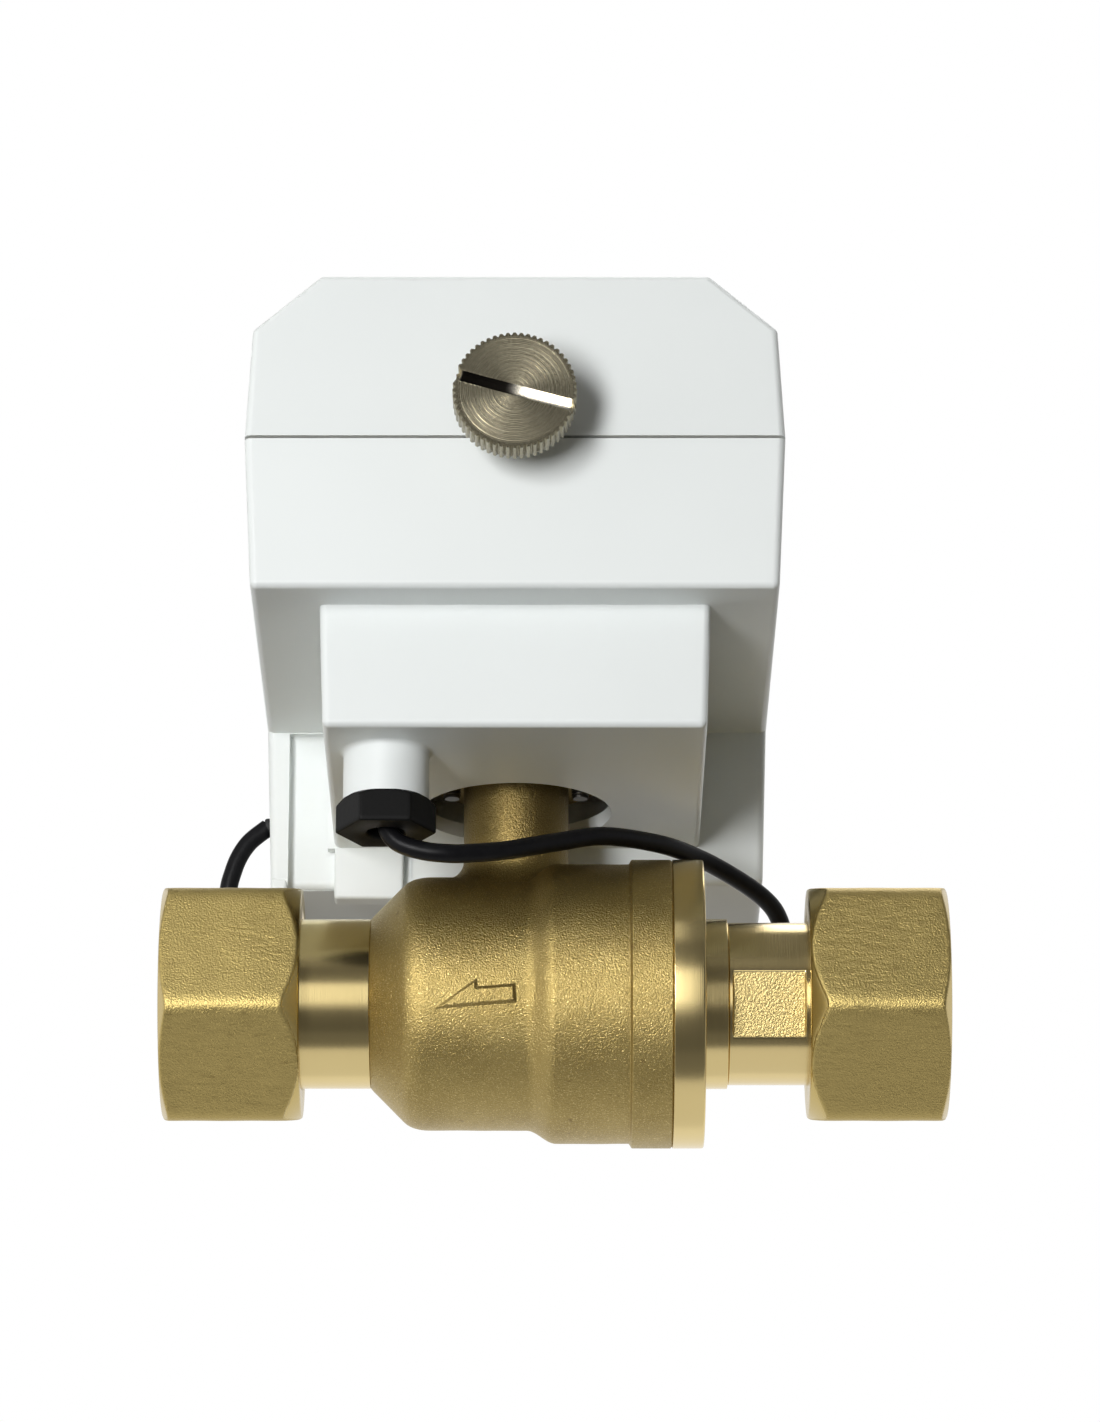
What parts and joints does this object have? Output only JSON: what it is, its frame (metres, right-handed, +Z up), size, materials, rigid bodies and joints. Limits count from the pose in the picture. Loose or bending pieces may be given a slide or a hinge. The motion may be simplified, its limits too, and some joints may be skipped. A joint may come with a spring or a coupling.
{
  "type": "smart water valve",
  "caption": "Motor-driven brass in-line ball valve with union nuts at both ends, under a white moulded actuator housing closed by a knurled thumb screw, with a black lead.",
  "frame": {"origin": "centre of the ball, on the waterway's axis under the stem", "axes": "+X along the pipe towards the inlet, +Z up the stem, -Y to the front with the thumb screw"},
  "size_m": [0.1555, 0.1348, 0.1591],
  "materials": {
    "cast_brass": "sand-cast brass, fine matt grain",
    "polished_brass": "turned and polished brass",
    "turned_brass": "turned brass with fine tool marks",
    "forged_brass": "hot-forged brass, slightly rough",
    "black_rubber": "moulded black rubber",
    "seat_plastic": "white slippery seat plastic",
    "ball_chrome": "hard chromed ball",
    "steel": "zinc-plated steel",
    "shield": "tinned shield can",
    "gear_plastic": "natural gear plastic",
    "white_housing": "white moulded plastic, satin",
    "plate_metal": "mill-finish plate",
    "motor_can": "plated motor can",
    "board": "green circuit board",
    "terminal_green": "green terminal plastic",
    "capacitor_sleeve": "dark sleeve",
    "chip_black": "moulded chip",
    "holder_black": "black battery holder",
    "cell_wrap": "plain shrink wrap",
    "nickel": "nickel-plated brass, turned face",
    "washer_nylon": "natural nylon washer",
    "gland_plastic": "black gland nylon",
    "lead_sheath": "smooth black cable sheath"
  },
  "bodies": {
    "valve": {"valve_body": "cast_brass", "end_connector": "polished_brass", "outlet_tail": "turned_brass", "inlet_tail": "turned_brass", "screw_insert": "turned_brass", "outlet_gasket": "black_rubber", "inlet_gasket": "black_rubber", "body_o_ring": "black_rubber", "lid_seal": "black_rubber", "gland_seal": "black_rubber", "lead_grommet": "black_rubber", "seat_rings": "seat_plastic", "thrust_washer": "seat_plastic", "flange_screws": "steel", "plate_screws": "steel", "motor_screws": "steel", "board_screws": "steel", "idler_pin": "steel", "plate_spacers": "steel", "battery_contacts": "steel", "radio_module": "shield", "base_housing": "white_housing", "inset_cover": "white_housing", "lower_gear_plate": "plate_metal", "upper_gear_plate": "plate_metal", "motor": "motor_can", "control_board": "board", "terminal_block": "terminal_green", "capacitors": "capacitor_sleeve", "hall_sensor": "chip_black", "battery_holder": "holder_black", "battery_cells": "cell_wrap", "gland_nut": "gland_plastic", "lead": "lead_sheath"},
    "closure": {"ball": "ball_chrome", "stem": "turned_brass", "stem_o_rings": "black_rubber", "output_gear": "gear_plastic", "position_magnet": "steel"},
    "idler": {"idler_gear": "gear_plastic"},
    "rotor": {"motor_pinion": "turned_brass"},
    "cover": {"lid": "white_housing"},
    "washer": {"screw_washer": "washer_nylon"},
    "screw": {"thumb_screw": "nickel"},
    "nut_in": {"inlet_nut": "forged_brass"},
    "nut_out": {"outlet_nut": "forged_brass"}
  },
  "joints": [
    {"name": "valve_turn", "type": "hinge", "parent": "valve", "child": "closure", "pos_m": [0, 0, 0], "axis": [0, 0, 1], "range_deg": [0, 90]},
    {"name": "idler_turn", "type": "hinge", "parent": "valve", "child": "idler", "pos_m": [-0.01001, -0.02828, 0.06], "axis": [0, 0, 1], "range_deg": [-420, 60]},
    {"name": "motor_turn", "type": "hinge", "parent": "valve", "child": "rotor", "pos_m": [0.01399, -0.02828, 0.063], "axis": [0, 0, 1], "range_deg": [-180, 1260]},
    {"name": "lid_lift", "type": "slide", "parent": "valve", "child": "cover", "axis": [0, 0, 1], "range_m": [0, 0.05]},
    {"name": "screw_travel", "type": "slide", "parent": "valve", "child": "washer", "axis": [0, -1, 0], "range_m": [0, 0.008]},
    {"name": "screw_turn", "type": "hinge", "parent": "washer", "child": "screw", "pos_m": [0, -0.0658, 0.0994], "axis": [0, -1, 0], "range_deg": [0, 2880]},
    {"name": "inlet_nut_turn", "type": "hinge", "parent": "valve", "child": "nut_in", "pos_m": [0.07, 0, 0], "axis": [1, 0, 0], "continuous": true},
    {"name": "outlet_nut_turn", "type": "hinge", "parent": "valve", "child": "nut_out", "pos_m": [-0.055, 0, 0], "axis": [-1, 0, 0], "continuous": true}
  ],
  "couplings": [
    {"joint": "idler_turn", "follows": "valve_turn", "ratio": -4},
    {"joint": "motor_turn", "follows": "valve_turn", "ratio": 12},
    {"joint": "screw_travel", "follows": "screw_turn", "m_per_rad": 0.00015915}
  ]
}
